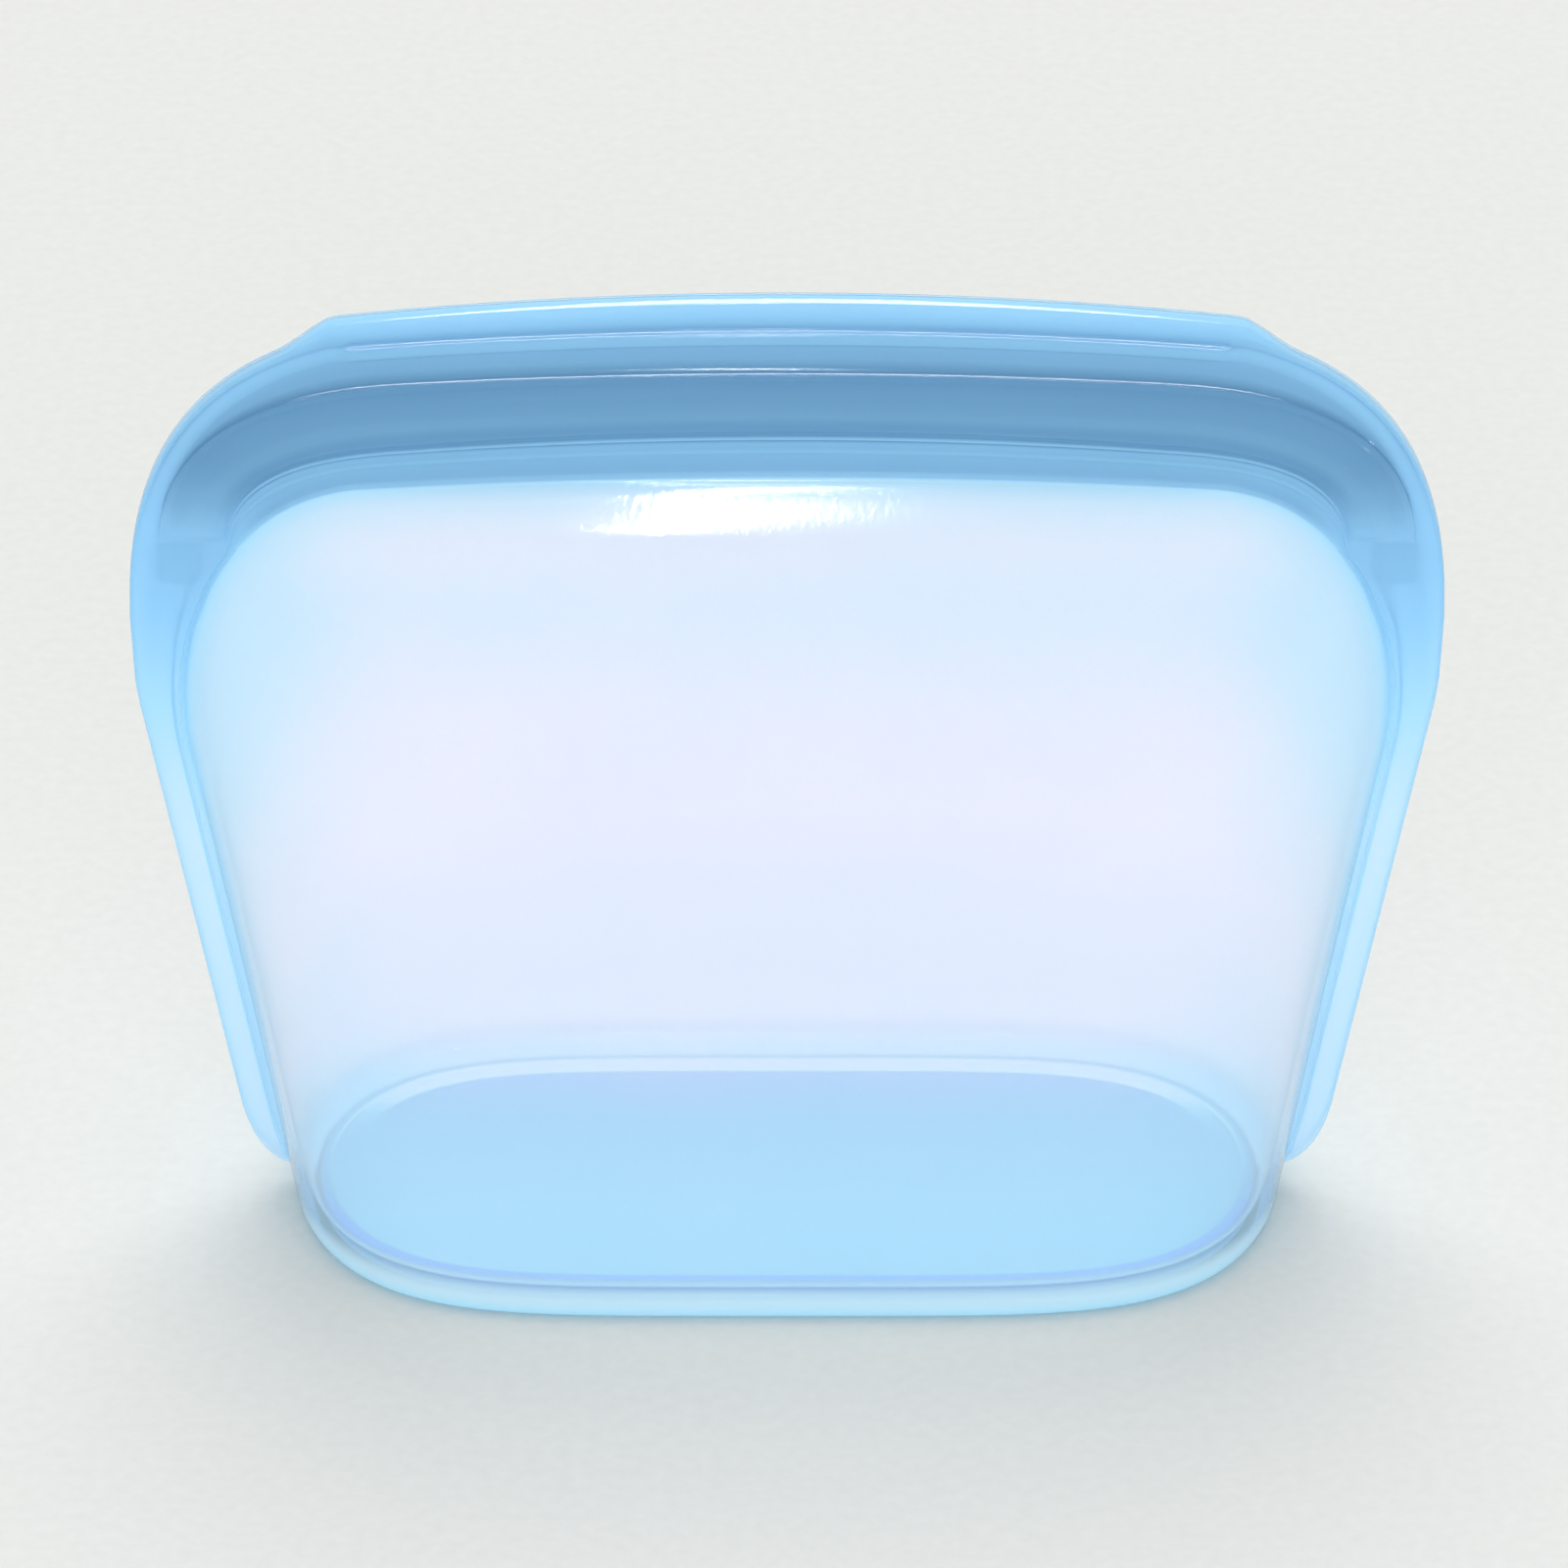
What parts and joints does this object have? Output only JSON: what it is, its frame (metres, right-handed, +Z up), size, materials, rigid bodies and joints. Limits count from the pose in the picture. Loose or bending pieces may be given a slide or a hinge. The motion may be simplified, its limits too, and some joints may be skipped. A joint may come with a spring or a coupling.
{
  "type": "reusable silicone bag",
  "caption": "Stand-up see-through silicone food bag with a stadium foot, bonded side seams and a press-seal lip with grip tabs.",
  "frame": {"origin": "middle of the base, on the surface that the foot ring stands on", "axes": "+X to the right along the mouth, +Y towards the back lip, +Z up towards the grip tabs"},
  "size_m": [0.2148, 0.083, 0.1716],
  "materials": {
    "wall_silicone": "clear glossy silicone, faintly milky",
    "seam_silicone": "clear blue silicone, satin",
    "band_silicone": "see-through blue silicone, satin, glossy along its edges",
    "base_silicone": "see-through blue silicone, fine satin"
  },
  "bodies": {
    "pouch": {"base_panel": "base_silicone", "foot_ring": "base_silicone", "front_wall": "wall_silicone", "back_wall": "wall_silicone", "front_left_flange": "seam_silicone", "front_right_flange": "seam_silicone", "back_left_flange": "seam_silicone", "back_right_flange": "seam_silicone", "left_end_stop": "seam_silicone", "right_end_stop": "seam_silicone"},
    "front_lip": {"front_throat_wall": "wall_silicone", "front_lower_band": "band_silicone", "front_closure_block": "band_silicone", "front_lip_strip": "band_silicone", "front_grip_ledge": "band_silicone", "front_grip_tab": "band_silicone"},
    "back_lip": {"back_throat_wall": "wall_silicone", "back_lower_band": "band_silicone", "back_closure_block": "band_silicone", "back_lip_strip": "band_silicone", "back_grip_ledge": "band_silicone", "back_grip_tab": "band_silicone", "upper_press_rib": "band_silicone", "lower_press_rib": "band_silicone"}
  },
  "joints": [
    {"name": "front_lip_opening", "type": "hinge", "parent": "pouch", "child": "front_lip", "pos_m": [0, -0.009, 0.126], "axis": [1, 0, 0], "range_deg": [0, 40], "stiffness_Nm_per_rad": 0.05, "springref_deg": -5.73},
    {"name": "back_lip_opening", "type": "hinge", "parent": "pouch", "child": "back_lip", "pos_m": [0, 0.009, 0.126], "axis": [-1, 0, 0], "range_deg": [0, 40], "stiffness_Nm_per_rad": 0.05, "springref_deg": -5.73}
  ]
}
